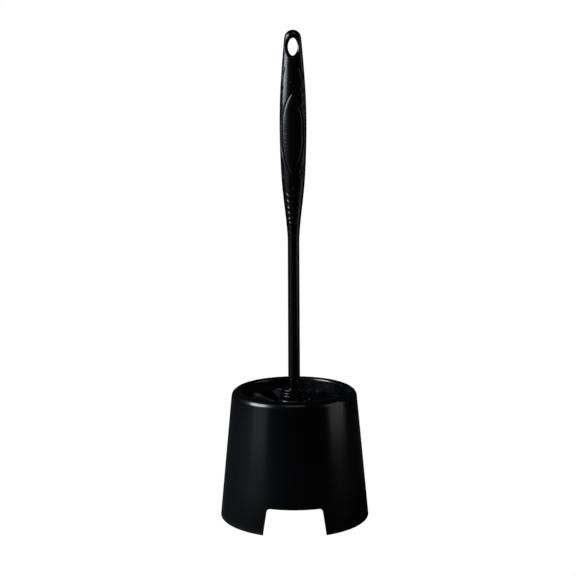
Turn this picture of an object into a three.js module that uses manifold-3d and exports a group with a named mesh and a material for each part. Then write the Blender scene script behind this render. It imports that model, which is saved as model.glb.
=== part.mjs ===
// A toilet brush standing in its conical holder. Millimetres, +Z up.
// The origin is on the floor, under the middle of the holder.
import * as THREE from 'three';
import { mergeVertices } from 'three/addons/utils/BufferGeometryUtils.js';
import Module from 'manifold-3d';

const wasm = await Module();
wasm.setup();

// Holder: one moulding, an outer skirt that rolls over at the rim into the well for the brush.
const baseRadius = 57.5;
const rimTop = 99;
const skirtTopRadius = 47.8;      // the skirt's straight side, carried on to the height of the rim
const wall = 1.8;
const rimOuterRound = 5.5;
const rimInnerRound = 2.3;
const wellFloor = 18.5;
const wellFloorRadius = 37.5;
const wellCorner = 4;             // round between the well's wall and its floor
const notchHeight = 20.2;
const notchFootWidth = 47;
const notchTopWidth = 41;
const notchCorner = 2.3;
const holderSides = 48;

// Handle: a rod that swells into a flattened grip with an oval hanging hole.
const gripTurn = -10;             // degrees, how the brush happens to stand in the holder
const rodFootRadius = 4.58;
const rodTopRadius = 4.43;
const rodTop = 213.5;
const brushTop = 370;
const gripEndRadius = 6.45;
const gripSides = [               // half width, height
  [4.58, 218], [5.85, 231.8], [7.47, 245.4], [8.8, 258.9], [9.75, 277], [10.2, 296],
  [10.12, 308], [9.57, 325], [8.3, 343], [7.1, 357],
];
const gripFullHeight = 276;       // where the grip has become as flat as it is at the hand
const gripFlatness = 0.72;        // thickness over width at the hand
const gripEndFlatness = 0.62;     // and at the top
const hangingHole = { middle: 357.6, width: 7.9, height: 12.9 };
const handleSides = 24;
const gap = 0.3;                  // between pieces that fit into one another

// Brush head: a stepped collar on a core that is drilled for the tufts.
const lipRadius = 6;
const lipTop = 101;
const collarTiers = [             // radius, top, height
  [9.55, 99.4, 2.3], [10.6, 96.8, 1.9], [10.6, 94.5, 1.9], [11.9, 92.2, 4],
];
const tierRound = 0.55;
const tierGroove = 0.65;
const coreRadius = 11.5;
const coreBottom = 39.6;
const coreBottomRound = 7.4;
const headSides = 32;
const spigotRadius = 3.4;
const spigotBottom = 75.5;
const spigotChamfer = 0.8;

// Tufts: bundles of bristles that splay out from their holes.
const holeRadius = 2.1;
const holeDepth = 5.1;
const tuftRootRadius = 1.1;
const tuftTipRadius = 5;
const tuftSides = 8;
const tuftReach = 35;             // from the brush's axis to the tips
const tuftsInRing = 8;
const topRingTurn = 18;           // degrees
const topRingHeight = 84.2;
const ringSpacing = 9.2;
const ringTilts = [20, 8, 0, -8, -18];
const endTufts = { count: 6, tilt: -58, length: 22 };
const endTuftTip = wellFloor + 0.6;

const plastic = { color: 0x070809, roughness: 0.34, metalness: 0 };
const bristle = { color: 0x050506, roughness: 0.4, metalness: 0 };
const rad = THREE.MathUtils.degToRad;

// A closed geometry as a solid, without the empty triangles where a revolved profile meets its axis.
function solid(geometry) {
  geometry.deleteAttribute('normal');
  geometry.deleteAttribute('uv');
  const merged = mergeVertices(geometry, 1e-3);
  const corners = merged.index.array;
  const triangles = [];
  for (let i = 0; i < corners.length; i += 3) {
    const [a, b, c] = corners.slice(i, i + 3);
    if (a !== b && b !== c && c !== a) triangles.push(a, b, c);
  }
  return new wasm.Manifold(new wasm.Mesh({
    numProp: 3,
    vertProperties: new Float32Array(merged.attributes.position.array),
    triVerts: new Uint32Array(triangles),
  }));
}

function node(name, body, finish) {
  const mesh = body.getMesh();
  const geometry = new THREE.BufferGeometry();
  geometry.setAttribute('position', new THREE.BufferAttribute(mesh.vertProperties, 3));
  geometry.setIndex(new THREE.BufferAttribute(mesh.triVerts, 1));
  geometry.computeVertexNormals();
  const object = new THREE.Mesh(geometry, new THREE.MeshStandardMaterial(finish));
  object.name = name;
  return object;
}

// A profile of (radius, height) points, revolved about the Z axis.
function turned(points, segments) {
  const profile = points.map(([r, z]) => new THREE.Vector2(r, z));
  return new THREE.LatheGeometry(profile, segments).rotateX(Math.PI / 2);
}

// A path's points: the ends of its lines and twice pointsInArc steps along each arc.
function along(path, pointsInArc) {
  return path.getPoints(pointsInArc).map((p) => [Math.max(p.x, 0), p.y]);
}

function skirtRadius(z) {
  return baseRadius + (skirtTopRadius - baseRadius) * (z / rimTop);
}

function holderProfile() {
  const lean = Math.atan2(baseRadius - skirtTopRadius, rimTop);
  const crest = skirtRadius(rimTop - rimOuterRound) - rimOuterRound / Math.cos(lean);
  const mouth = crest - rimInnerRound;
  const cornerHeight = wellFloor + wellCorner;
  const underRound = (skirtRadius(rimTop - rimOuterRound) - mouth - 2 * wall) / 2;
  const underMiddle = mouth + wall + underRound;
  const underHeight = rimTop - wall - underRound;
  const cornerMiddle = wellFloorRadius - wellCorner;
  const path = new THREE.Path();
  path.moveTo(0, wellFloor - wall);
  path.lineTo(cornerMiddle, wellFloor - wall);
  path.absarc(cornerMiddle, cornerHeight, wellCorner + wall, -Math.PI / 2, 0, false);
  path.absarc(underMiddle, underHeight, underRound, Math.PI, 0, true);
  path.lineTo(baseRadius - wall, 0);
  path.lineTo(baseRadius, 0);
  path.absarc(crest, rimTop - rimOuterRound, rimOuterRound, lean, Math.PI / 2, false);
  path.absarc(crest, rimTop - rimInnerRound, rimInnerRound, Math.PI / 2, Math.PI, false);
  path.absarc(cornerMiddle, cornerHeight, wellCorner, 0, -Math.PI / 2, true);
  path.lineTo(0, wellFloor);
  return along(path, 2);
}

// A gap in the skirt's foot, rounded at its upper corners, cut through the front and the back.
function notchCutter() {
  const foot = notchFootWidth / 2;
  const top = notchTopWidth / 2;
  const slope = (foot - top) / notchHeight;
  const below = 2;
  const outline = new THREE.Shape();
  outline.moveTo(-foot - slope * below, -below);
  outline.lineTo(foot + slope * below, -below);
  outline.lineTo(top + slope * notchCorner, notchHeight - notchCorner);
  outline.quadraticCurveTo(top, notchHeight, top - notchCorner, notchHeight);
  outline.lineTo(notchCorner - top, notchHeight);
  outline.quadraticCurveTo(-top, notchHeight, -top - slope * notchCorner, notchHeight - notchCorner);
  const reach = 2 * baseRadius;
  const settings = { depth: reach, bevelEnabled: false, curveSegments: 4 };
  return new THREE.ExtrudeGeometry(outline, settings).rotateX(Math.PI / 2);
}

function makeHolder() {
  const clearOfWell = wellFloorRadius + wall + 3;
  const front = solid(notchCutter().translate(0, -clearOfWell, 0));
  const back = solid(notchCutter().rotateZ(Math.PI).translate(0, clearOfWell, 0));
  const shell = solid(turned(holderProfile(), holderSides));
  return node('holder_shell', shell.subtract(front).subtract(back), plastic);
}

function handleProfile() {
  const spline = new THREE.SplineCurve([
    new THREE.Vector2(rodTopRadius, rodTop),
    ...gripSides.map(([r, z]) => new THREE.Vector2(r, z)),
    new THREE.Vector2(gripEndRadius, brushTop - gripEndRadius),
  ]);
  const end = new THREE.Path();
  end.absarc(0, brushTop - gripEndRadius, gripEndRadius, 0, Math.PI / 2, false);
  const shoulder = lipTop + gap;
  return [
    [0, spigotBottom],
    [spigotRadius - spigotChamfer, spigotBottom],
    [spigotRadius, spigotBottom + spigotChamfer],
    [spigotRadius, shoulder],
    [rodFootRadius, shoulder],
    ...spline.getPoints(20).map((p) => [p.x, p.y]),
    ...along(end, 2).slice(1),
  ];
}

// The rod is round; above it the grip grows flatter towards its end.
function flatness(z) {
  const hand = THREE.MathUtils.smoothstep(z, rodTop, gripFullHeight);
  const end = THREE.MathUtils.smoothstep(z, gripFullHeight, brushTop);
  return 1 - (1 - gripFlatness) * hand - (gripFlatness - gripEndFlatness) * end;
}

function makeHandle() {
  const body = turned(handleProfile(), handleSides);
  const place = body.attributes.position;
  for (let i = 0; i < place.count; i += 1) {
    place.setY(i, place.getY(i) * flatness(place.getZ(i)));
  }
  const { middle, width, height } = hangingHole;
  const end = (height - width) / 2;
  const oval = new THREE.Shape();
  oval.absarc(0, middle + end, width / 2, 0, Math.PI, false);
  oval.absarc(0, middle - end, width / 2, Math.PI, 2 * Math.PI, false);
  const through = 40;
  const cutter = new THREE.ExtrudeGeometry(oval, { depth: through, bevelEnabled: false, curveSegments: 8 });
  cutter.rotateX(Math.PI / 2).translate(0, through / 2, 0);
  const handle = node('handle', solid(body).subtract(solid(cutter)), plastic);
  handle.rotation.z = rad(gripTurn);
  return handle;
}

// Each place where a tuft is set: its direction and the point where its axis leaves the core.
function tuftPlaces() {
  const places = [];
  ringTilts.forEach((tilt, ring) => {
    for (let i = 0; i < tuftsInRing; i += 1) {
      const turn = topRingTurn + (360 / tuftsInRing) * (i + ring / 2);
      const length = (tuftReach - coreRadius) / Math.cos(rad(tilt));
      places.push({
        name: `tuft_${ring + 1}_${i + 1}`, tilt, turn, length,
        radius: coreRadius, height: topRingHeight - ring * ringSpacing,
      });
    }
  });
  for (let i = 0; i < endTufts.count; i += 1) {
    places.push({
      name: `end_tuft_${i + 1}`, tilt: endTufts.tilt, length: endTufts.length,
      turn: topRingTurn + (360 / endTufts.count) * (i + 0.5),
      radius: coreRadius - coreBottomRound * (1 - Math.cos(rad(endTufts.tilt))),
      height: coreBottom + coreBottomRound * (1 + Math.sin(rad(endTufts.tilt))),
    });
  }
  places.push({
    name: 'end_tuft_middle', tilt: -90, turn: 0, length: coreBottom - endTuftTip,
    radius: 0, height: coreBottom,
  });
  return places;
}

// Turns a shape that points along +Z from the hole's mouth into its place in the core.
function setInCore(geometry, { tilt, turn, radius, height }) {
  geometry.rotateY(rad(90 - tilt)).translate(radius, 0, height);
  return geometry.rotateZ(rad(turn));
}

function headProfile() {
  const path = new THREE.Path();
  const flatRadius = coreRadius - coreBottomRound;
  path.moveTo(0, coreBottom);
  path.lineTo(flatRadius, coreBottom);
  path.absarc(flatRadius, coreBottom + coreBottomRound, coreBottomRound, -Math.PI / 2, 0, false);
  [...collarTiers].reverse().forEach(([radius, top, height]) => {
    path.lineTo(radius - tierGroove, top - height);
    path.lineTo(radius, top - height + tierRound);
    path.absarc(radius - tierRound, top - tierRound, tierRound, 0, Math.PI / 2, false);
    path.lineTo(radius - tierGroove - tierRound, top);
  });
  path.lineTo(lipRadius, collarTiers[0][1]);
  path.absarc(lipRadius - tierRound, lipTop - tierRound, tierRound, 0, Math.PI / 2, false);
  path.lineTo(spigotRadius + gap, lipTop);
  path.lineTo(spigotRadius + gap, spigotBottom - gap);
  path.lineTo(0, spigotBottom - gap);
  return along(path, 1);
}

function makeHead(places) {
  const holes = places.map((place) => {
    const drill = new THREE.CylinderGeometry(holeRadius, holeRadius, 2 * holeDepth, tuftSides);
    return solid(setInCore(drill.rotateX(Math.PI / 2), place));
  });
  const core = solid(turned(headProfile(), headSides));
  return node('brush_head', core.subtract(wasm.Manifold.union(holes)), plastic);
}

function makeTuft(place) {
  const root = holeDepth - gap;
  const length = root + place.length;
  const bundle = new THREE.CylinderGeometry(tuftTipRadius, tuftRootRadius, length, tuftSides);
  bundle.rotateX(Math.PI / 2).translate(0, 0, length / 2 - root);
  return node(place.name, solid(setInCore(bundle, place)), bristle);
}

const places = tuftPlaces();
const holder = new THREE.Group();
holder.add(makeHolder());
const brush = new THREE.Group();
brush.add(makeHandle(), makeHead(places), ...places.map(makeTuft));
const set = new THREE.Group();
set.add(holder, brush);

export default set;
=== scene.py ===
import math
import random

import bmesh
import bpy
from mathutils import Matrix, Vector


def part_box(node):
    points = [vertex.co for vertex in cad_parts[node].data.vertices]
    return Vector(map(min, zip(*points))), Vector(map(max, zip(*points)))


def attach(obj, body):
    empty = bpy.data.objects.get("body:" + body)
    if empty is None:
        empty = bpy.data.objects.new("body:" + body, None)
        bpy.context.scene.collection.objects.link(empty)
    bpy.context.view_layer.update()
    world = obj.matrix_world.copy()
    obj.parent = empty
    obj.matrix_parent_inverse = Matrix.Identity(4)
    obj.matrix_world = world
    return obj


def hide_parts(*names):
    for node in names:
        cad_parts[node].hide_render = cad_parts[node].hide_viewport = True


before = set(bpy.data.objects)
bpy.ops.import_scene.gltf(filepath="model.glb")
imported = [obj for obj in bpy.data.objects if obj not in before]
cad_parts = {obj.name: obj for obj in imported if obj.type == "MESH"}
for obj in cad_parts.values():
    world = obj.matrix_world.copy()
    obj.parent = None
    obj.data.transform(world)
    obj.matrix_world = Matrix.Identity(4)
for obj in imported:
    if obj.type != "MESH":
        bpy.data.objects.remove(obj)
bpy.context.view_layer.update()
mm = 0.001

# Meshes are in metres, in the frame's own axes. The settings of the pieces are in millimetres and degrees,
# those of the materials and of the studio in metres and degrees.


def freshStart():
    if bpy.context.mode != "OBJECT":
        bpy.ops.object.mode_set(mode="OBJECT")
    bpy.ops.object.select_all(action="DESELECT")


def pick(piece):
    freshStart()
    piece.select_set(True)
    bpy.context.view_layer.objects.active = piece
    return piece


def rename(name):
    piece = bpy.context.object  # the primitive that was just added
    piece.name = name
    piece.data.name = name
    return piece


def choose(piece, what, test):
    # in edit mode, selects the verts, edges or faces that pass a test
    bpy.ops.mesh.select_mode(type={"verts": "VERT", "edges": "EDGE", "faces": "FACE"}[what])
    bpy.ops.mesh.select_all(action="DESELECT")
    shape = bmesh.from_edit_mesh(piece.data)
    for part in getattr(shape, what):
        if test(part):
            part.select_set(True)
    shape.select_flush_mode()
    bmesh.update_edit_mesh(piece.data)


def applied(piece, kind, **settings):
    pick(piece)
    step = piece.modifiers.new(kind.lower(), kind)
    for key, value in settings.items():
        setattr(step, key, value)
    bpy.ops.object.modifier_apply(modifier=step.name)


def cut(piece, cutter):
    applied(piece, "BOOLEAN", operation="DIFFERENCE", solver="EXACT", object=cutter)
    bpy.data.objects.remove(cutter)


def smooth(piece, degrees=35):
    pick(piece)
    bpy.ops.object.shade_smooth_by_angle(angle=math.radians(degrees))


def smoothStep(value, low, high):
    t = min(1.0, max(0.0, (value - low) / (high - low)))
    return t * t * (3 - 2 * t)


def arc(middle, radius, start, end, steps):
    # (radius, height) points on a round stretch of an outline, from one angle to another in degrees
    angles = [math.radians(start + (end - start) * i / steps) for i in range(steps + 1)]
    return [(middle[0] + radius * math.cos(a), middle[1] + radius * math.sin(a)) for a in angles]


def spun(name, outline, steps):
    # draws a (radius, height) outline from axis to axis by extruding one vertex, then spins it
    freshStart()
    bpy.ops.mesh.primitive_plane_add(size=mm)
    piece = rename(name)
    bpy.ops.object.mode_set(mode="EDIT")
    bpy.ops.mesh.select_mode(type="VERT")
    bpy.ops.mesh.merge(type="CENTER")
    last = (0.0, 0.0)
    for i, (radius, height) in enumerate(outline):
        move = ((radius - last[0]) * mm, 0, (height - last[1]) * mm)
        if i == 0:
            bpy.ops.transform.translate(value=move)
        else:
            bpy.ops.mesh.extrude_region_move(TRANSFORM_OT_translate={"value": move})
        last = (radius, height)
    bpy.ops.mesh.select_all(action="SELECT")
    bpy.ops.mesh.spin(steps=steps, angle=math.tau, center=(0, 0, 0), axis=(0, 0, 1))
    bpy.ops.mesh.select_all(action="SELECT")
    bpy.ops.mesh.remove_doubles(threshold=0.002 * mm)
    bpy.ops.mesh.normals_make_consistent(inside=False)
    bpy.ops.object.mode_set(mode="OBJECT")
    return piece


class Wire:
    # a socket that takes part in Python expressions
    def __init__(self, tree, socket):
        self.tree = tree
        self.socket = socket

    def node(self, kind, settings=None, output=0, **inputs):
        # inputs go by name with _ for a space, or by number as _0
        made = self.tree.nodes.new(kind)
        for key, value in (settings or {}).items():
            setattr(made, key, value)
        for key, value in inputs.items():
            spot = int(key[1:]) if key[0] == "_" and key[1:].isdigit() else key.replace("_", " ")
            if isinstance(value, Wire):
                self.tree.links.new(value.socket, made.inputs[spot])
            else:
                made.inputs[spot].default_value = value
        return Wire(self.tree, made.outputs[output])

    def sum(self, operation, first, second):
        return self.node("ShaderNodeMath", {"operation": operation}, _0=first, _1=second)

    def __add__(self, other):
        return self.sum("ADD", self, other)

    def __radd__(self, other):
        return self.sum("ADD", other, self)

    def __sub__(self, other):
        return self.sum("SUBTRACT", self, other)

    def __rsub__(self, other):
        return self.sum("SUBTRACT", other, self)

    def __mul__(self, other):
        return self.sum("MULTIPLY", self, other)

    def __rmul__(self, other):
        return self.sum("MULTIPLY", other, self)

    def __gt__(self, other):
        return self.sum("GREATER_THAN", self, other)


def newMaterial(name):
    material = bpy.data.materials.new(name)
    material.use_nodes = True
    tree = material.node_tree
    shader = tree.nodes["Principled BSDF"]
    place = Wire(tree, tree.nodes.new("ShaderNodeTexCoord").outputs["Object"])
    return material, shader, place


def feed(shader, socket, wire):
    wire.tree.links.new(wire.socket, shader.inputs[socket])


def noise(place, scale, detail=2.0, stretch=(1, 1, 1)):
    spread = place.node("ShaderNodeVectorMath", {"operation": "MULTIPLY"}, _0=place, _1=stretch)
    return spread.node("ShaderNodeTexNoise", Vector=spread, Scale=scale, Detail=detail)


def bump(height, strength, distance, **under):
    return height.node("ShaderNodeBump", Strength=strength, Distance=distance, Height=height, **under)


def fade(value, start, end, first, last):
    spans = {"From_Min": start, "From_Max": end, "To_Min": first, "To_Max": last}
    return value.node("ShaderNodeMapRange", Value=value, **spans)


def blendColors(amount, first, second):
    settings = {"data_type": "RGBA"}
    return amount.node("ShaderNodeMix", settings, output=2, Factor=amount, _6=first, _7=second)


plasticLook = {
    "color": (0.0006, 0.0007, 0.0009, 1), "paler": (0.0016, 0.0018, 0.0022, 1), "ior": 1.49,
    "flowScale": 34, "flowRoughness": 0.05, "flowColor": 0.7, "flowBump": 0.03, "flowHeight": 0.0004,
    "grainScale": 900, "grainRoughness": 0.03, "grainColor": 0.2, "grainBump": 0.015, "grainHeight": 0.00005,
    "scuffScale": 210, "scuffStretch": (1, 1, 7),
    "scratchesAbove": 0.66, "scratchScale": 60, "scratchRoughness": 0.06,
    "wornColor": (0.007, 0.0072, 0.0078, 1), "wornShare": 0.5, "wornRoughness": 0.16, "wornRagged": 0.006,
}


def plasticMaterial(name, roughness, gloss, wornBelow=None, grainStretch=(1, 1, 1)):
    # flow marks of the moulding, fine grain, scratches, and wear where it stands on the floor
    look = plasticLook
    material, shader, place = newMaterial(name)
    flow = noise(place, look["flowScale"], 3, grainStretch)
    grain = noise(place, look["grainScale"], 2, grainStretch)
    scuffs = noise(place, look["scuffScale"], 4, look["scuffStretch"])
    scratches = (scuffs > look["scratchesAbove"]) * noise(place, look["scratchScale"])
    amount = flow * look["flowColor"] + grain * look["grainColor"]
    color = blendColors(amount, look["color"], look["paler"])
    rough = roughness + (flow - 0.5) * look["flowRoughness"]
    rough = rough + (grain - 0.5) * look["grainRoughness"] + scratches * look["scratchRoughness"]
    if wornBelow is not None:
        height = place.node("ShaderNodeSeparateXYZ", output=2, Vector=place)
        wear = fade(height + (scuffs - 0.5) * look["wornRagged"], 0.0, wornBelow, 1.0, 0.0)
        rough = rough + wear * look["wornRoughness"]
        color = blendColors(wear * look["wornShare"], color, look["wornColor"])
    feed(shader, "Base Color", color)
    feed(shader, "Roughness", rough)
    fine = bump(grain, look["grainBump"], look["grainHeight"])
    broad = bump(flow, look["flowBump"], look["flowHeight"], Normal=fine)
    feed(shader, "Normal", broad)
    shader.inputs["IOR"].default_value = look["ior"]
    shader.inputs["Specular IOR Level"].default_value = gloss
    return material


bristleLook = {
    "dark": (0.0007, 0.0008, 0.001, 1), "pale": (0.0025, 0.0027, 0.0032, 1),
    # colour of the outer ends: partly wear, partly a painted highlight of the lit tips
    "ends": (0.1, 0.105, 0.115, 1),
    "endsFrom": 0.030, "endsFull": 0.0355,  # distance from the brush's middle
    "roughness": 0.34, "patchRoughness": 0.16, "toneScale": 500, "patchScale": 60, "ior": 1.5,
}


def bristleMaterial():
    # black filaments, paler towards their outer ends: partly wear where they are cut, partly a painted
    # highlight where light catches the tips
    look = bristleLook
    material, shader, place = newMaterial("bristle filament")
    tone = noise(place, look["toneScale"], 1)
    patch = noise(place, look["patchScale"], 2)
    flat = place.node("ShaderNodeVectorMath", {"operation": "MULTIPLY"}, _0=place, _1=(1, 1, 0))
    reach = flat.node("ShaderNodeVectorMath", {"operation": "LENGTH"}, output=1, _0=flat)
    # paler beyond a distance from the brush's middle: wear at the cut ends, and painted highlight on the tips
    ends = fade(reach, look["endsFrom"], look["endsFull"], 0.0, 1.0)
    body = blendColors(tone * 0.8, look["dark"], look["pale"])
    feed(shader, "Base Color", blendColors(ends * (0.3 + 0.7 * tone), body, look["ends"]))
    feed(shader, "Roughness", look["roughness"] + patch * look["patchRoughness"])
    shader.inputs["IOR"].default_value = look["ior"]
    return material


stapleLook = {
    "dull": (0.42, 0.42, 0.4, 1), "bright": (0.66, 0.66, 0.63, 1), "roughness": 0.25, "drawnRoughness": 0.2,
    "drawnScale": 900, "drawnStretch": (1, 1, 0.1),
}


def stapleMaterial():
    # drawn steel wire
    look = stapleLook
    material, shader, place = newMaterial("staple wire")
    drawn = noise(place, look["drawnScale"], 2, look["drawnStretch"])
    feed(shader, "Base Color", blendColors(drawn, look["dull"], look["bright"]))
    feed(shader, "Roughness", look["roughness"] + drawn * look["drawnRoughness"])
    shader.inputs["Metallic"].default_value = 1
    return material


def finish(piece, material, body, nodes):
    # gives a piece its material, its body and the CAD nodes that it stands for
    piece.data.materials.clear()
    piece.data.materials.append(material)
    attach(piece, body)
    if nodes:
        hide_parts(*nodes)


holderPlastic = plasticMaterial("black holder plastic", 0.215, 0.5, wornBelow=0.006)
brushPlastic = plasticMaterial("black brush plastic", 0.23, 0.32, grainStretch=(1, 1, 0.35))
bristles = bristleMaterial()
stapleWire = stapleMaterial()
print("materials made")


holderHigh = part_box("holder_shell")[1]
holder = {
    "footRadius": holderHigh[0] / mm, "rimTop": holderHigh[2] / mm, "skirtTopRadius": 47.8, "wall": 1.8,
    "rimOuterRound": 5.5, "rimInnerRound": 2.3,
    "wellFloor": 18.5, "wellFloorRadius": 37.5, "wellCorner": 4.0,
    "notchHeight": 20.2, "notchFootWidth": 47.0, "notchTopWidth": 41.0, "notchCorner": 2.3,
    "cutterDepth": 24, "cutterMiddle": 54.5,  # the notch cutter reaches through the skirt only
    "edge": 0.35, "steps": 192, "gateRadius": 3.0, "gateHeight": 0.5,
}


def holderOutline():
    # from the gate under the well, down inside the skirt, up its outside, over the rim and into the well
    h = holder
    lean = math.atan2(h["footRadius"] - h["skirtTopRadius"], h["rimTop"])

    def skirt(z):
        return h["footRadius"] + (h["skirtTopRadius"] - h["footRadius"]) * z / h["rimTop"]

    skirtAtRim = skirt(h["rimTop"] - h["rimOuterRound"])
    crest = skirtAtRim - h["rimOuterRound"] / math.cos(lean)
    mouth = crest - h["rimInnerRound"]
    under = (skirtAtRim - mouth - 2 * h["wall"]) / 2
    floorTop = h["wellFloor"]
    floorUnder = floorTop - h["wall"]
    corner = (h["wellFloorRadius"] - h["wellCorner"], floorTop + h["wellCorner"])
    innerTop = (mouth + h["wall"] + under, h["rimTop"] - h["wall"] - under)
    gate = h["gateRadius"]
    gateEnd = floorUnder - h["gateHeight"]
    outline = [(0, gateEnd), (gate * 0.6, gateEnd), (gate, floorUnder)]
    outline += arc(corner, h["wellCorner"] + h["wall"], -90, 0, 8)
    outline += arc(innerTop, under, 180, 0, 10)
    outline += [(h["footRadius"] - h["wall"], 0)]
    outline += [(skirt(z), z) for z in (0, 30, 60)]
    outerMiddle = (crest, h["rimTop"] - h["rimOuterRound"])
    innerMiddle = (crest, h["rimTop"] - h["rimInnerRound"])
    outline += arc(outerMiddle, h["rimOuterRound"], math.degrees(lean), 90, 16)
    outline += arc(innerMiddle, h["rimInnerRound"], 90, 180, 10)[1:]
    outline += arc(corner, h["wellCorner"], 0, -90, 8)
    outline += [(0, floorTop)]
    return outline


def notchCutter(turn):
    # a block that narrows upward, with its two upper edges rounded
    h = holder
    freshStart()
    bpy.ops.mesh.primitive_cube_add(size=1)
    cutter = rename("notch cutter")
    bpy.ops.object.mode_set(mode="EDIT")
    below = 2.0
    tall = h["notchHeight"] + below
    slope = (h["notchFootWidth"] - h["notchTopWidth"]) / h["notchHeight"]
    foot = h["notchFootWidth"] + slope * below
    bpy.ops.transform.resize(value=(foot * mm, h["cutterDepth"] * mm, tall * mm))
    bpy.ops.transform.translate(value=(0, -h["cutterMiddle"] * mm, (tall / 2 - below) * mm))
    choose(cutter, "verts", lambda v: v.co.z > 0)
    share = h["notchTopWidth"] / foot
    bpy.ops.transform.resize(value=(share, 1, 1), center_override=(0, 0, h["notchHeight"] * mm))

    def upperCorner(edge):
        start, end = (v.co for v in edge.verts)
        return min(start.z, end.z) > 0 and start.x * end.x > 0

    choose(cutter, "edges", upperCorner)
    bpy.ops.mesh.bevel(offset=h["notchCorner"] * mm, segments=6, affect="EDGES")
    bpy.ops.mesh.select_all(action="SELECT")
    bpy.ops.transform.rotate(value=turn, orient_axis="Z", center_override=(0, 0, 0))
    bpy.ops.object.mode_set(mode="OBJECT")
    return cutter


def makeHolder():
    h = holder
    shell = spun("holder_body", holderOutline(), h["steps"])
    for turn in (0, math.pi):
        cut(shell, notchCutter(turn))
    pick(shell)
    bpy.ops.object.mode_set(mode="EDIT")
    lowEnough = (h["notchHeight"] + 0.5) * mm
    farEnough = (h["wellFloorRadius"] + 12) * mm
    steep = math.radians(40)

    def sharp(edge):
        # the edges of the foot and of the notches
        low = max(v.co.z for v in edge.verts) < lowEnough
        outer = min(v.co.xy.length for v in edge.verts) > farEnough
        return low and outer and len(edge.link_faces) == 2 and edge.calc_face_angle(0) > steep

    choose(shell, "edges", sharp)
    bpy.ops.mesh.remove_doubles(threshold=0.3 * mm)  # short edges that the cut left would spoil the bevel
    choose(shell, "edges", sharp)
    bpy.ops.mesh.bevel(offset=h["edge"] * mm, segments=3, affect="EDGES", clamp_overlap=True)
    bpy.ops.object.mode_set(mode="OBJECT")
    smooth(shell, 32)
    finish(shell, holderPlastic, "holder", ["holder_shell"])


makeHolder()
print("holder made")


handleLow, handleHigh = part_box("handle")
handle = {
    "turn": -10, "sides": 36, "spigotBottom": handleLow[2] / mm, "spigotTip": 2.6, "spigotRadius": 3.4,
    "shoulder": 99.92, "shoulderRadius": 4.4, "rodFootRadius": 4.58, "rodTopRadius": 4.43,
    "rodTop": 213.5, "rodStep": 9, "top": handleHigh[2] / mm, "endRadius": 6.45,
    "sidesAt": [  # height and half width up the grip
        (218, 4.58), (231.8, 5.85), (245.4, 7.47), (258.9, 8.8), (277, 9.75), (296, 10.2),
        (308, 10.12), (325, 9.57), (343, 8.3), (357, 7.1),
    ],
    "fullHeight": 276, "flatness": 0.72, "endFlatness": 0.62, "ringStep": 1.6,
    "holeMiddle": 357.6, "holeWidth": 7.9, "holeHeight": 12.9,
    "holeRound": 1.8, "holeRoll": 1.25, "holeDepth": 3.2, "cutterDepth": 40,
}
panel = {  # height and width are from its middle
    "middle": 293.5, "height": 29.8, "width": 8.3, "narrowing": 0.8, "raise": 0.15, "slopeWidth": 2.2,
    "groove": 0.5, "grooveWidth": 0.75, "faintBelow": 5, "faintShare": 0.3,
}
chevrons = {
    "top": 291.2, "pitch": 3.1, "count": 7, "slope": 0.34, "bend": 1.15,
    "width": 5.6, "margin": 1.6, "reach": 1.25, "height": 0.11,
}
fingerRibs = {
    "heights": [246.9, 242.3, 237.7, 233.9, 229.6, 226.7], "firstWidth": 5.2, "lastWidth": 3.0,
    "curve": 0.1, "height": 0.66, "above": 1.9, "below": 1.1,
}
thumbDimple = {"height": 254.0, "radius": 2.0, "depth": 0.55}
gateMark = {"height": 331.5, "radius": 0.8, "depth": 0.25}
sideScoops = [  # upper end, lower end, angle from the front at each, half width in degrees
    (343.5, 328.5, 46, 74, 10), (328.5, 323, 50, 68, 9), (323, 316, 56, 76, 10),
    (316, 309, 52, 72, 10), (272.5, 263.5, 56, 70, 9), (268.5, 260, 43, 52, 6),
]
scoopDepth = 0.55


def throughPoints(points, x):
    # a smooth curve through a list of points
    for i in range(len(points) - 1):
        if x <= points[i + 1][0]:
            break
    before = points[max(i - 1, 0)]
    (x0, y0), (x1, y1) = points[i], points[i + 1]
    after = points[min(i + 2, len(points) - 1)]
    step = x1 - x0
    startSlope = (y1 - before[1]) / (x1 - before[0]) * step
    endSlope = (after[1] - y0) / (after[0] - x0) * step
    t = (x - x0) / step
    return ((2 * t**3 - 3 * t**2 + 1) * y0 + (t**3 - 2 * t**2 + t) * startSlope
            + (3 * t**2 - 2 * t**3) * y1 + (t**3 - t**2) * endSlope)


def gripHalfWidth(z):
    h = handle
    rod = [(h["rodTop"] - 30, h["rodTopRadius"]), (h["rodTop"], h["rodTopRadius"])]
    end = (h["top"] - h["endRadius"], h["endRadius"])
    return throughPoints(rod + h["sidesAt"] + [end], z)


def gripFlatness(z):
    # thickness for each unit of width: round at the rod, flatter at the grip and at the end
    h = handle
    hand = smoothStep(z, h["rodTop"], h["fullHeight"])
    end = smoothStep(z, h["fullHeight"], h["top"])
    return 1 - (1 - h["flatness"]) * hand - (h["flatness"] - h["endFlatness"]) * end


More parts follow.
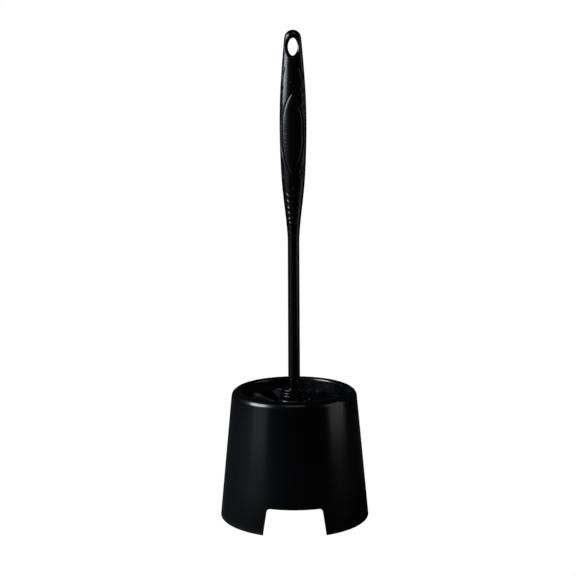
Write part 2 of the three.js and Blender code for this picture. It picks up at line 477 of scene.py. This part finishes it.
def handleRings():
    # height, half width and half thickness of each ring, from the spigot up
    h = handle
    low, high = h["spigotBottom"], h["shoulder"]
    thin, thick = h["spigotRadius"], h["rodFootRadius"]
    spigot = [(low, h["spigotTip"])]
    spigot += [(z, thin) for z in (low + 0.8, low + 2, high - 1, high - 0.1)]
    foot = [(high, h["shoulderRadius"]), (high + 0.3, thick), (high + 1, thick)]
    rings = [(z, r, r) for z, r in spigot + foot]
    z = high + 8
    while z < h["rodTop"] - 4:
        share = (z - high) / (h["rodTop"] - high)
        r = thick + (h["rodTopRadius"] - thick) * share
        rings.append((z, r, r))
        z += h["rodStep"]
    z = h["rodTop"]
    while z < h["top"] - h["endRadius"]:
        width = gripHalfWidth(z)
        rings.append((z, width, width * gripFlatness(z)))
        z += h["ringStep"]
    for i in range(8):  # the round end
        angle = math.radians(4 + 12 * i)
        z = h["top"] - h["endRadius"] * (1 - math.sin(angle))
        width = h["endRadius"] * math.cos(angle)
        rings.append((z, width, width * gripFlatness(z)))
    return rings


def handleCage():
    # one ring extruded upward again and again, each time resized
    freshStart()
    rings = handleRings()
    z, width, thickness = rings[0]
    bpy.ops.mesh.primitive_circle_add(vertices=handle["sides"], radius=width * mm, fill_type="NGON")
    cage = rename("grip_and_rod")
    bpy.ops.object.mode_set(mode="EDIT")
    bpy.ops.mesh.select_mode(type="FACE")
    bpy.ops.mesh.select_all(action="SELECT")
    bpy.ops.transform.translate(value=(0, 0, z * mm))
    for nextZ, nextWidth, nextThickness in rings[1:]:
        rise = (0, 0, (nextZ - z) * mm)
        bpy.ops.mesh.extrude_region_move(TRANSFORM_OT_translate={"value": rise})
        size = (nextWidth / width, nextThickness / thickness, 1)
        bpy.ops.transform.resize(value=size, center_override=(0, 0, nextZ * mm))
        z, width, thickness = nextZ, nextWidth, nextThickness
    bpy.ops.mesh.select_all(action="SELECT")
    bpy.ops.mesh.normals_make_consistent(inside=False)
    bpy.ops.object.mode_set(mode="OBJECT")
    applied(cage, "SUBSURF", levels=2, render_levels=2)
    return cage


def relief(piece, height, amount):
    # raises the surface, or sinks it where height is negative, by a share of height at each vertex
    group = piece.vertex_groups.new(name="relief")
    for vertex in piece.data.vertices:
        share = amount(vertex.co.x / mm, vertex.co.y / mm, vertex.co.z / mm)
        if share:
            group.add([vertex.index], share, "REPLACE")
    applied(piece, "DISPLACE", vertex_group="relief", strength=height * mm, mid_level=0, direction="NORMAL")
    piece.vertex_groups.clear()


def holeEdge(x, y, z):
    # how far the surface rolls in towards the hanging hole
    h = handle
    up = z - h["holeMiddle"]
    reach = math.hypot(x / (h["holeWidth"] / 2), up / (h["holeHeight"] / 2))  # 1 on the hole's outline
    if reach <= 1:
        return 1
    beyond = (reach - 1) * (math.hypot(x, up) / reach)
    return max(0, 1 - beyond / h["holeRound"]) ** h["holeRoll"]


def panelHalfWidth(z):
    # goes on below zero past the pointed ends
    t = abs(z - panel["middle"]) / panel["height"]
    if t >= 1:
        return panel["width"] * 2.5 * (1 - t)
    s = min(1, (1 - t) / panel["narrowing"])
    return panel["width"] * (1 - (1 - s) ** 2)


def panelOffset(x, z):
    # distance outside the panel's outline, across the line
    width = panelHalfWidth(z)
    slope = (panelHalfWidth(z + 0.1) - panelHalfWidth(z - 0.1)) / 0.2
    return (abs(x) - width) / math.sqrt(1 + slope * slope)


def panelGroove(x, y, z):
    # a line along the outline, fainter at its lower end
    if abs(z - panel["middle"]) > panel["height"] + 2:
        return 0
    bottom, faint = panel["middle"] - panel["height"], panel["faintShare"]
    strength = faint + (1 - faint) * smoothStep(z, bottom, bottom + panel["faintBelow"])
    return strength * max(0, 1 - abs(panelOffset(x, z)) / panel["grooveWidth"]) ** 1.3


def panelRaise(x, y, z):
    if abs(z - panel["middle"]) > panel["height"]:
        return 0
    return smoothStep(-panelOffset(x, z), 0.2, panel["slopeWidth"])


def chevronRidges(x, y, z):
    # low V-shaped ridges in the panel
    c = chevrons
    lift = z - c["slope"] * abs(x) ** c["bend"]
    k = round((c["top"] - lift) / c["pitch"])
    if k < 0 or k >= c["count"]:
        return 0
    away = abs(lift - (c["top"] - k * c["pitch"]))
    width = min(c["width"], panelHalfWidth(z) - c["margin"])
    side = 1 - smoothStep(abs(x), width - 1.2, width)
    return max(0, 1 - away / c["reach"]) ** 0.8 * side if side > 0 else 0


def fingerRidges(x, y, z):
    # ribs across the lower grip that get narrower downward
    f = fingerRibs
    best = 0
    last = len(f["heights"]) - 1
    for k, height in enumerate(f["heights"]):
        width = f["firstWidth"] + (f["lastWidth"] - f["firstWidth"]) * k / last
        away = z - height - f["curve"] * x * x
        reach = f["above"] if away > 0 else f["below"]
        side = 1 - smoothStep(abs(x), width * 0.3, width + 0.3)
        crest = 0.5 + 0.5 * math.cos(math.pi * min(1, abs(away) / reach))
        best = max(best, crest * side)
    return best


def roundSpot(spot):
    def amount(x, y, z):
        away = math.hypot(x, z - spot["height"]) / spot["radius"]
        return max(0, 1 - away * away)
    return amount


def scoops(x, y, z):
    # slanting hollows along both edges of the grip
    angle = math.degrees(math.atan2(abs(x), abs(y) / handle["flatness"]))
    deepest = 0
    for top, bottom, startAngle, endAngle, half in sideScoops:
        t = (top - z) / (top - bottom)
        if 0 < t < 1:
            middle = startAngle + (endAngle - startAngle) * t
            off = (angle - middle) / half
            deepest = max(deepest, math.sin(math.pi * t) * max(0, 1 - off * off) ** 1.5)
    return deepest


def frontOnly(amount):
    return lambda x, y, z: amount(x, y, z) if y < 0 else 0


def holeCutter():
    h = handle
    freshStart()
    bpy.ops.mesh.primitive_cylinder_add(
        vertices=96, radius=h["holeWidth"] / 2 * mm, depth=h["cutterDepth"] * mm)
    cutter = rename("hole cutter")
    bpy.ops.object.mode_set(mode="EDIT")
    bpy.ops.transform.rotate(value=math.pi / 2, orient_axis="X", center_override=(0, 0, 0))
    bpy.ops.transform.resize(value=(1, 1, h["holeHeight"] / h["holeWidth"]), center_override=(0, 0, 0))
    bpy.ops.transform.translate(value=(0, 0, h["holeMiddle"] * mm))
    bpy.ops.object.mode_set(mode="OBJECT")
    return cutter


def makeHandle():
    grip = handleCage()
    relief(grip, -panel["groove"], panelGroove)
    relief(grip, panel["raise"], panelRaise)
    relief(grip, chevrons["height"], chevronRidges)
    relief(grip, fingerRibs["height"], fingerRidges)
    relief(grip, -thumbDimple["depth"], roundSpot(thumbDimple))
    relief(grip, gateMark["depth"], frontOnly(roundSpot(gateMark)))
    relief(grip, -scoopDepth, scoops)
    relief(grip, -handle["holeDepth"], holeEdge)
    cut(grip, holeCutter())
    pick(grip)
    bpy.ops.object.mode_set(mode="EDIT")
    bpy.ops.mesh.select_all(action="SELECT")
    bpy.ops.mesh.remove_doubles(threshold=0.02 * mm)
    turn = math.radians(handle["turn"])
    bpy.ops.transform.rotate(value=-turn, orient_axis="Z", center_override=(0, 0, 0))
    bpy.ops.object.mode_set(mode="OBJECT")
    smooth(grip, 50)
    finish(grip, brushPlastic, "brush", ["handle"])


makeHandle()
print("handle made")


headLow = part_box("brush_head")[0]
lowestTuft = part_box("end_tuft_middle")[0]
head = {
    "lipRadius": 5.7, "lipTop": 99.9, "lipRound": 0.6, "socket": 3.7, "socketBottom": 75.2, "steps": 96,
    "tiers": [  # radius, top, height and rounding of each step of the collar
        (9.55, 99.4, 1.7, 0.7), (10.3, 97.3, 1.5, 0.7), (10.8, 95.3, 1.8, 0.8), (12.6, 92.9, 5.2, 3.3),
    ],
    "groove": 1.0, "edge": 0.35, "coreRadius": 11.5, "coreBottom": headLow[2] / mm, "bottomRound": 7.4,
    "holeRadius": 2.1, "holeDepth": 5.1, "holeEdge": 0.5, "holeTip": 0.3,
}
tuftRings = {
    "count": 8, "turn": 18, "top": 84.2, "spacing": 9.2, "tilts": [20, 8, 0, -8, -18], "reach": 35.0,
    "endCount": 6, "endTilt": -58, "endLength": 22.0, "lowest": lowestTuft[2] / mm,
}


def headOutline():
    # from the core's underside, up its side and over the collar, then down into the socket
    h = head
    flat = h["coreRadius"] - h["bottomRound"]
    outline = [(0, h["coreBottom"])]
    outline += arc((flat, h["coreBottom"] + h["bottomRound"]), h["bottomRound"], -90, 0, 10)
    outline += [(h["coreRadius"], h["tiers"][-1][1] - h["tiers"][-1][2] - 0.6)]
    for radius, top, height, roundness in reversed(h["tiers"]):
        bottom, edge = top - height, h["edge"]
        outline += [(radius - h["groove"], bottom), (radius - edge, bottom), (radius, bottom + edge)]
        outline += arc((radius - roundness, top - roundness), roundness, 0, 90, 7)
        if roundness < h["groove"]:
            outline += [(radius - h["groove"] - 0.1, top)]
    rim, top = h["tiers"][0][0], h["tiers"][0][1]
    outline += [(rim - 1.6, top - 0.35), (h["lipRadius"] + 0.6, top - 0.4)]
    lip = h["lipRound"]
    outline += arc((h["lipRadius"] - lip, h["lipTop"] - lip), lip, 0, 90, 6)
    outline += [(h["socket"], h["lipTop"]), (h["socket"], h["socketBottom"]), (0, h["socketBottom"])]
    return outline


def tuftPlaces():
    # where each tuft leaves the core, which way it points and how long it is
    t = tuftRings
    places = []
    for ring, tilt in enumerate(t["tilts"]):
        for i in range(t["count"]):
            places.append({
                "name": f"tuft_{ring + 1}_{i + 1}", "tilt": tilt, "kind": ring,
                "turn": t["turn"] + 360 / t["count"] * (i + ring / 2),
                "length": (t["reach"] - head["coreRadius"]) / math.cos(math.radians(tilt)),
                "radius": head["coreRadius"], "height": t["top"] - ring * t["spacing"],
            })
    lean = math.radians(t["endTilt"])
    for i in range(t["endCount"]):
        places.append({
            "name": f"end_tuft_{i + 1}", "tilt": t["endTilt"], "kind": "end",
            "turn": t["turn"] + 360 / t["endCount"] * (i + 0.5), "length": t["endLength"],
            "radius": head["coreRadius"] - head["bottomRound"] * (1 - math.cos(lean)),
            "height": head["coreBottom"] + head["bottomRound"] * (1 + math.sin(lean)),
        })
    places.append({
        "name": "end_tuft_middle", "tilt": -90, "kind": "middle", "turn": 0,
        "length": head["coreBottom"] - t["lowest"], "radius": 0, "height": head["coreBottom"],
    })
    return places


def placeMatrix(place):
    # carries a shape that points along +Z from the origin to its hole in the core
    tilt = Matrix.Rotation(math.radians(90 - place["tilt"]), 4, "Y")
    move = Matrix.Translation((place["radius"] * mm, 0, place["height"] * mm))
    return Matrix.Rotation(math.radians(place["turn"]), 4, "Z") @ move @ tilt


def copyTo(source, name, matrix):
    # a copy with a mesh of its own, whose place goes into the mesh
    pick(source)
    bpy.ops.object.duplicate(linked=False)
    piece = rename(name)
    piece.matrix_world = matrix
    bpy.ops.object.transform_apply(location=True, rotation=True, scale=True)
    return piece


def joined(pieces, name):
    freshStart()
    for piece in pieces:
        piece.select_set(True)
    bpy.context.view_layer.objects.active = pieces[0]
    bpy.ops.object.join()
    return rename(name)


def makeHead(places):
    h = head
    core = spun("bristle_core", headOutline(), h["steps"])
    freshStart()
    bpy.ops.mesh.primitive_cylinder_add(
        vertices=20, radius=h["holeRadius"] * mm, depth=2 * h["holeDepth"] * mm)
    drill = rename("drill")
    bpy.ops.object.mode_set(mode="EDIT")
    choose(drill, "faces", lambda f: f.normal.z < -0.5)
    bpy.ops.mesh.inset(thickness=h["holeEdge"] * mm)
    bpy.ops.transform.translate(value=(0, 0, -h["holeTip"] * mm))
    bpy.ops.object.mode_set(mode="OBJECT")
    drills = [copyTo(drill, "drill", placeMatrix(place)) for place in places]
    bpy.data.objects.remove(drill)
    cut(core, joined(drills, "drills"))
    smooth(core, 38)
    finish(core, brushPlastic, "brush", ["brush_head"])


places = tuftPlaces()
makeHead(places)
print("brush head made")


tuft = {
    "filaments": 44, "thickness": 0.42, "rootSpread": 1.5, "tipSpread": 6.4, "endTipSpread": 5.2,
    "topDroop": 3.4, "topFlatness": 0.5,  # the highest ring is pressed down by the rim of the holder
    "rootAbove": 1.2, "angleScatter": 0.25, "spreadScatter": (0.86, 1.1), "endRound": 60,
    "lengthScatter": 0.9, "waviness": 0.9, "steps": 5, "seed": 7, "looks": 2,
}


def tuftTemplate(kind, length, tilt, seed):
    # one bundle of bezier curves that splay out of a hole at the origin, along +Z
    t = tuft
    dice = random.Random(seed)
    freshStart()
    bpy.ops.curve.primitive_bezier_curve_add()
    bundle = rename(f"bundle {kind} {seed}")
    bpy.ops.object.mode_set(mode="EDIT")
    for i in range(t["filaments"] - 1):
        bpy.ops.curve.primitive_bezier_curve_add()
    bpy.ops.object.mode_set(mode="OBJECT")
    curve = bundle.data
    curve.dimensions = "3D"
    curve.resolution_u = t["steps"]
    curve.bevel_depth = t["thickness"] / 2 * mm
    curve.bevel_resolution = 0
    curve.use_fill_caps = True
    root = -(head["holeDepth"] - t["rootAbove"])
    lean = math.radians(tilt)
    spread = t["tipSpread"] if isinstance(kind, int) else t["endTipSpread"]
    golden = math.pi * (3 - math.sqrt(5))
    for i, spline in enumerate(curve.splines):
        share = math.sqrt((i + 0.5) / t["filaments"])
        angle = golden * i + dice.uniform(-t["angleScatter"], t["angleScatter"])
        out = share * spread * dice.uniform(*t["spreadScatter"])
        x, y = out * math.cos(angle), out * math.sin(angle)
        if kind == 0:
            x = x * t["topFlatness"] + t["topDroop"]
        trim = x * math.tan(lean) if isinstance(kind, int) else 0  # the ends are cut to the brush's round
        tipZ = length + trim - out * out / t["endRound"] + dice.uniform(-1, 0.35) * t["lengthScatter"]
        near = share * t["rootSpread"]
        base = Vector((near * math.cos(angle), near * math.sin(angle), root))
        tip = Vector((x, y, tipZ))
        sway = Vector((dice.uniform(-1, 1), dice.uniform(-1, 1), 0)) * t["waviness"]
        start, end = spline.bezier_points
        for point in (start, end):
            point.handle_left_type = point.handle_right_type = "FREE"
        start.co = base * mm
        start.handle_left = (base - Vector((0, 0, 2))) * mm
        start.handle_right = (base + Vector((0, 0, 7)) + sway * 0.3) * mm
        away = (tip - base).normalized()
        end.co = tip * mm
        end.handle_left = (tip - away * length * 0.4 + sway) * mm
        end.handle_right = (tip + away * 2) * mm
    pick(bundle)
    bpy.ops.object.convert(target="MESH")
    bpy.ops.object.mode_set(mode="EDIT")
    bpy.ops.mesh.select_all(action="SELECT")
    bpy.ops.mesh.remove_doubles(threshold=0.002 * mm)  # welds the end caps on
    bpy.ops.mesh.normals_make_consistent(inside=False)
    bpy.ops.object.mode_set(mode="OBJECT")
    bpy.ops.object.shade_smooth()
    return bpy.context.object


def makeTufts(places):
    templates = {}
    for number, place in enumerate(places):
        key = (place["kind"], number % tuft["looks"])
        if key not in templates:
            seed = tuft["seed"] + 31 * len(templates)
            templates[key] = tuftTemplate(place["kind"], place["length"], place["tilt"], seed)
        piece = copyTo(templates[key], place["name"] + "_bristles", placeMatrix(place))
        finish(piece, bristles, "brush", [place["name"]])
    for template in templates.values():
        bpy.data.objects.remove(template)


makeTufts(places)
print("tufts made")


staple = {"width": 3.0, "height": 1.6, "thickness": 0.4, "depth": 4.6, "edge": 0.08}


def makeStaples(places):
    # flat wire anchors at the bottoms of the holes
    s = staple
    freshStart()
    bpy.ops.mesh.primitive_cube_add(size=mm)
    wire = rename("staple")
    bpy.ops.object.mode_set(mode="EDIT")
    bpy.ops.transform.resize(value=(s["thickness"], s["width"], s["height"]))
    bpy.ops.mesh.bevel(offset=s["edge"] * mm, segments=2, affect="EDGES")
    bpy.ops.transform.translate(value=(0, 0, -s["depth"] * mm + s["height"] / 2 * mm))
    bpy.ops.object.mode_set(mode="OBJECT")
    anchors = [copyTo(wire, "anchor", placeMatrix(place)) for place in places]
    bpy.data.objects.remove(wire)
    row = joined(anchors, "tuft_staples")
    finish(row, stapleWire, "brush", [])


makeStaples(places)
print("staples made")


studio = {
    "white": 1.0, "ambient": (0.010, 0.011, 0.013),
    "floorColor": (0.012, 0.012, 0.013), "floorRoughness": 0.9, "floorSize": 8, "floorTop": -0.0001,
    "camera": {"place": (0.0, -0.9248, 0.3167), "angles": (81.43, 0.287, 0.227), "lens": 76.85, "sensor": 36},
    "lights": [  # turn goes round the object from the front, far and height place the light's middle
        {"name": "left softbox", "color": (0.84, 0.90, 1.0), "glow": 15.0, "lean": -20,
         "turn": -72, "far": 1.15, "height": 0.7, "tilt": 27, "size": (0.7, 0.72)},
        {"name": "low left reflector", "color": (0.84, 0.88, 1.0), "glow": 0.4, "lean": 0,
         "turn": -60, "far": 0.5, "height": 0.12, "tilt": 0, "size": (0.24, 0.23)},
        {"name": "right reflector", "color": (1.0, 0.99, 0.97), "glow": 0.75, "lean": 0,
         "turn": 79, "far": 0.62, "height": 0.27, "tilt": 10, "size": (0.39, 0.52)},
        {"name": "back reflector", "color": (0.95, 0.97, 1.0), "glow": 1.6, "lean": 0,
         "turn": 180, "far": 0.7, "height": 0.045, "tilt": 0, "size": (0.3, 0.08)},
        {"name": "top light", "color": (0.97, 0.98, 1.0), "glow": 0.7, "lean": 0,
         "turn": 0, "far": 0.65, "height": 1.2, "tilt": 59, "size": (0.6, 0.5)},
    ],
}


def whiteToCamera(tree, lit, strength):
    # plain white where it is looked at, and a dim surface to everything else
    paths = tree.nodes.new("ShaderNodeLightPath")
    seen = Wire(tree, paths.outputs["Is Camera Ray"])
    glow = seen.node("ShaderNodeEmission", Color=(1, 1, 1, 1), Strength=strength)
    return seen.node("ShaderNodeMixShader", Fac=seen, _1=lit, _2=glow)


def makeFloor():
    freshStart()
    bpy.ops.mesh.primitive_plane_add(size=studio["floorSize"], location=(0, 0, studio["floorTop"]))
    floor = rename("floor")
    bpy.ops.object.transform_apply(location=True)
    material = bpy.data.materials.new("studio floor")
    material.use_nodes = True
    tree = material.node_tree
    shader = tree.nodes["Principled BSDF"]
    shader.inputs["Base Color"].default_value = (*studio["floorColor"], 1)
    shader.inputs["Roughness"].default_value = studio["floorRoughness"]
    out = whiteToCamera(tree, Wire(tree, shader.outputs[0]), studio["white"])
    tree.links.new(out.socket, tree.nodes["Material Output"].inputs["Surface"])
    floor.data.materials.append(material)


def makeWorld():
    world = bpy.data.worlds.new("studio")
    bpy.context.scene.world = world
    world.use_nodes = True
    tree = world.node_tree
    ambient = tree.nodes["Background"]
    ambient.inputs["Color"].default_value = (*studio["ambient"], 1)
    out = whiteToCamera(tree, Wire(tree, ambient.outputs[0]), studio["white"])
    tree.links.new(out.socket, tree.nodes["World Output"].inputs["Surface"])


def makeLight(s):
    turn = math.radians(s["turn"])
    place = (math.sin(turn) * s["far"], -math.cos(turn) * s["far"], s["height"])
    bpy.ops.object.light_add(type="AREA", location=place)
    light = bpy.context.object
    light.name = s["name"]
    light.data.shape = "RECTANGLE"
    light.data.size, light.data.size_y = s["size"]
    light.data.energy = s["glow"] * math.pi * s["size"][0] * s["size"][1]
    light.data.color = s["color"]
    light.rotation_euler = (math.radians(90 - s["tilt"]), math.radians(s["lean"]), turn)
    light.visible_camera = False


def makeCamera(s):
    bpy.ops.object.camera_add(location=s["place"])
    camera = bpy.context.object
    camera.data.sensor_width = s["sensor"]
    camera.data.lens = s["lens"]
    camera.rotation_euler = [math.radians(angle) for angle in s["angles"]]
    bpy.context.scene.camera = camera
    bpy.context.scene.view_settings.view_transform = "Standard"


freshStart()
makeFloor()
makeWorld()
for lightSettings in studio["lights"]:
    makeLight(lightSettings)
makeCamera(studio["camera"])
print("stage, light and camera made")
